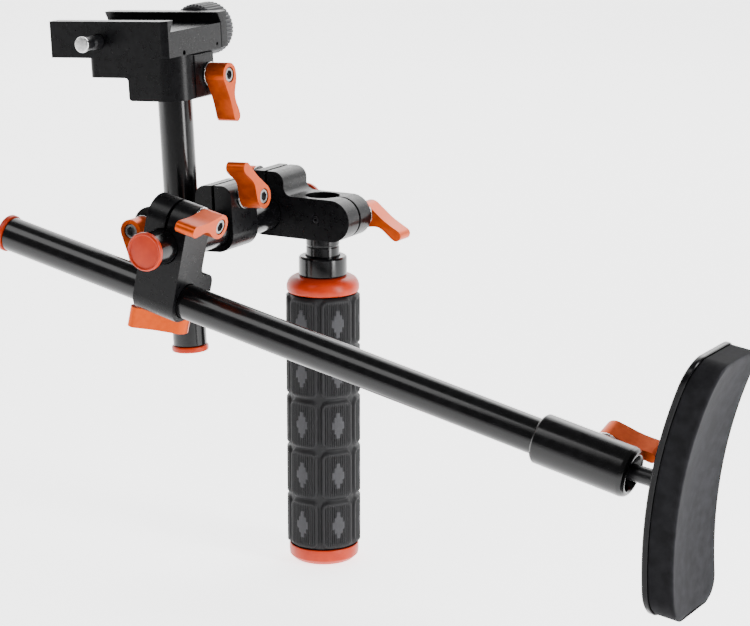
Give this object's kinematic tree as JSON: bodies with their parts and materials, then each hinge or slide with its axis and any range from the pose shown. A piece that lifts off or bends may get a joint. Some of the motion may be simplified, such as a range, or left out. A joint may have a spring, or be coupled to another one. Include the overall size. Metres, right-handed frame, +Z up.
{
  "type": "shoulder camera rig",
  "caption": "Handheld shoulder camera rig: pistol grip, cross rod with lever clamps, mast with dovetail camera receiver and chest rod with a ball-jointed foam pad.",
  "frame": {"origin": "centre of the flat underside of the grip's end cap", "axes": "+Z up the grip's axis, +X towards the wearer's chest, +Y along the cross rod, from the chest rod towards the grip"},
  "size_m": [0.3468, 0.1353, 0.2521],
  "materials": {
    "black_anodised": "satin black anodised",
    "black_gloss": "gloss black anodised",
    "orange_metal": "satin orange anodised",
    "orange_plastic": "satin moulded",
    "steel": "bright",
    "black_steel": "black oxide",
    "rubber": "matte, finely ribbed",
    "foam": "closed-cell foam, mottled",
    "black_plastic": "gloss moulded"
  },
  "bodies": {
    "grip": {"grip_end_cap": "orange_plastic", "grip_core": "black_anodised", "grip_stub": "black_gloss", "grip_bolt": "black_steel", "grip_sleeve": "rubber", "grip_ring": "orange_plastic", "grip_nut": "black_gloss"},
    "grip_clamp": {"grip_clamp_body": "black_anodised", "grip_clamp_set_screw": "black_steel", "grip_clamp_a_washer": "steel", "grip_clamp_b_washer": "steel"},
    "cross_rod": {"cross_rod": "black_gloss", "cross_rod_cap_front": "orange_plastic", "cross_rod_cap_back": "orange_plastic"},
    "mast_clamp": {"mast_clamp_body": "black_anodised", "mast_clamp_set_screw": "black_steel", "mast_clamp_a_washer": "steel", "mast_clamp_b_washer": "steel"},
    "rod_clamp": {"rod_clamp_body": "black_anodised", "rod_clamp_set_screw": "black_steel", "rod_clamp_a_washer": "steel", "rod_clamp_b_washer": "steel"},
    "mast": {"mast_rod": "black_gloss", "mast_cap": "orange_plastic"},
    "camera_plate": {"plate_clamp_body": "black_anodised", "plate_base": "black_anodised", "plate_base_screw_1": "black_steel", "plate_base_screw_2": "black_steel", "plate_clamp_washer": "steel"},
    "jaw": {"plate_jaw": "black_anodised"},
    "knob": {"knob": "rubber", "knob_spindle": "steel"},
    "safety_pin": {"safety_pin": "black_steel", "safety_pin_head": "steel"},
    "chest_rod": {"chest_rod": "black_gloss", "chest_rod_cap": "orange_plastic", "ball_collar": "black_gloss", "collar_washer": "steel"},
    "ball_stem": {"ball_stem": "black_steel"},
    "pad": {"pad_plate": "black_plastic", "pad_foam": "foam", "pad_screw": "steel"},
    "grip_clamp_a_lever": {"grip_clamp_a_lever": "orange_metal", "grip_clamp_a_screw": "steel"},
    "grip_clamp_b_lever": {"grip_clamp_b_lever": "orange_metal", "grip_clamp_b_screw": "steel"},
    "mast_clamp_a_lever": {"mast_clamp_a_lever": "orange_metal", "mast_clamp_a_screw": "steel"},
    "mast_clamp_b_lever": {"mast_clamp_b_lever": "orange_metal", "mast_clamp_b_screw": "steel"},
    "rod_clamp_a_lever": {"rod_clamp_a_lever": "orange_metal", "rod_clamp_a_screw": "steel"},
    "rod_clamp_b_lever": {"rod_clamp_b_lever": "orange_metal", "rod_clamp_b_screw": "steel"},
    "plate_clamp_lever": {"plate_clamp_lever": "orange_metal", "plate_clamp_screw": "steel"},
    "collar_lever": {"collar_lever": "orange_metal", "collar_screw": "steel"}
  },
  "joints": [
    {"name": "grip_swivel", "type": "hinge", "parent": "grip", "child": "grip_clamp", "pos_m": [0, 0, 0.16], "axis": [0, 0, 1], "continuous": true},
    {"name": "cross_rod_turn", "type": "hinge", "parent": "grip_clamp", "child": "cross_rod", "pos_m": [-0.0234, 0, 0.16], "axis": [0, 1, 0], "range_deg": [-50, 50]},
    {"name": "mast_tilt", "type": "hinge", "parent": "cross_rod", "child": "mast_clamp", "pos_m": [-0.0234, -0.0425, 0.16], "axis": [0, 1, 0], "range_deg": [-60, 60]},
    {"name": "chest_rod_tilt", "type": "hinge", "parent": "cross_rod", "child": "rod_clamp", "pos_m": [-0.0234, -0.084, 0.16], "axis": [0, 1, 0], "range_deg": [-75, 75]},
    {"name": "mast_height", "type": "slide", "parent": "mast_clamp", "child": "mast", "axis": [-0.0532, 0, 0.9986], "range_m": [-0.025, 0.044]},
    {"name": "plate_turn", "type": "hinge", "parent": "mast", "child": "camera_plate", "pos_m": [-0.04677, -0.0425, 0.15876], "axis": [-0.0532, 0, 0.9986], "continuous": true},
    {"name": "jaw_open", "type": "slide", "parent": "camera_plate", "child": "jaw", "axis": [0, 1, 0], "range_m": [0, 0.0025]},
    {"name": "knob_turn", "type": "hinge", "parent": "jaw", "child": "knob", "pos_m": [-0.05712, -0.0155, 0.24032], "axis": [0, 1, 0], "range_deg": [0, 720]},
    {"name": "pin_pull", "type": "slide", "parent": "camera_plate", "child": "safety_pin", "axis": [0, -1, 0], "range_m": [0, 0.0025], "stiffness_N_per_m": 400, "springref_m": -0.001},
    {"name": "chest_rod_reach", "type": "slide", "parent": "rod_clamp", "child": "chest_rod", "axis": [0.9759, 0, -0.2181], "range_m": [-0.165, 0.065]},
    {"name": "pad_pitch", "type": "hinge", "parent": "chest_rod", "child": "ball_stem", "pos_m": [0.18034, -0.084, 0.09048], "axis": [0, 1, 0], "range_deg": [-18, 18]},
    {"name": "pad_turn", "type": "hinge", "parent": "ball_stem", "child": "pad", "pos_m": [0.18034, -0.084, 0.09048], "axis": [0.9885, 0, -0.1513], "continuous": true},
    {"name": "grip_clamp_a_lever_turn", "type": "hinge", "parent": "grip_clamp", "child": "grip_clamp_a_lever", "pos_m": [-0.0326, 0, 0.1737], "axis": [-1, 0, 0], "range_deg": [-35, 35]},
    {"name": "grip_clamp_b_lever_turn", "type": "hinge", "parent": "grip_clamp", "child": "grip_clamp_b_lever", "pos_m": [0.0137, 0.0102, 0.15935], "axis": [0, 1, 0], "range_deg": [-35, 35]},
    {"name": "mast_clamp_a_lever_turn", "type": "hinge", "parent": "mast_clamp", "child": "mast_clamp_a_lever", "pos_m": [-0.01494, -0.0425, 0.17417], "axis": [0.9986, 0, 0.0532], "range_deg": [-35, 35]},
    {"name": "mast_clamp_b_lever_turn", "type": "hinge", "parent": "mast_clamp", "child": "mast_clamp_b_lever", "pos_m": [-0.06041, -0.0527, 0.15738], "axis": [0, -1, 0], "range_deg": [-35, 35]},
    {"name": "rod_clamp_a_lever_turn", "type": "hinge", "parent": "rod_clamp", "child": "rod_clamp_a_lever", "pos_m": [-0.03051, -0.0703, 0.12818], "axis": [-0.2181, 0, -0.9759], "range_deg": [-35, 35]},
    {"name": "rod_clamp_b_lever_turn", "type": "hinge", "parent": "rod_clamp", "child": "rod_clamp_b_lever", "pos_m": [-0.01046, -0.08465, 0.17114], "axis": [0.9759, 0, -0.2181], "range_deg": [-35, 35]},
    {"name": "plate_clamp_lever_turn", "type": "hinge", "parent": "camera_plate", "child": "plate_clamp_lever", "pos_m": [-0.03873, -0.0315, 0.22407], "axis": [0.9986, 0, 0.0532], "range_deg": [-35, 35]},
    {"name": "collar_lever_turn", "type": "hinge", "parent": "chest_rod", "child": "collar_lever", "pos_m": [0.17286, -0.07498, 0.09552], "axis": [0.0746, 0.9397, 0.3338], "range_deg": [-35, 35]}
  ],
  "couplings": [
    {"joint": "knob_turn", "follows": "jaw_open", "rad_per_m": 5026.5}
  ]
}
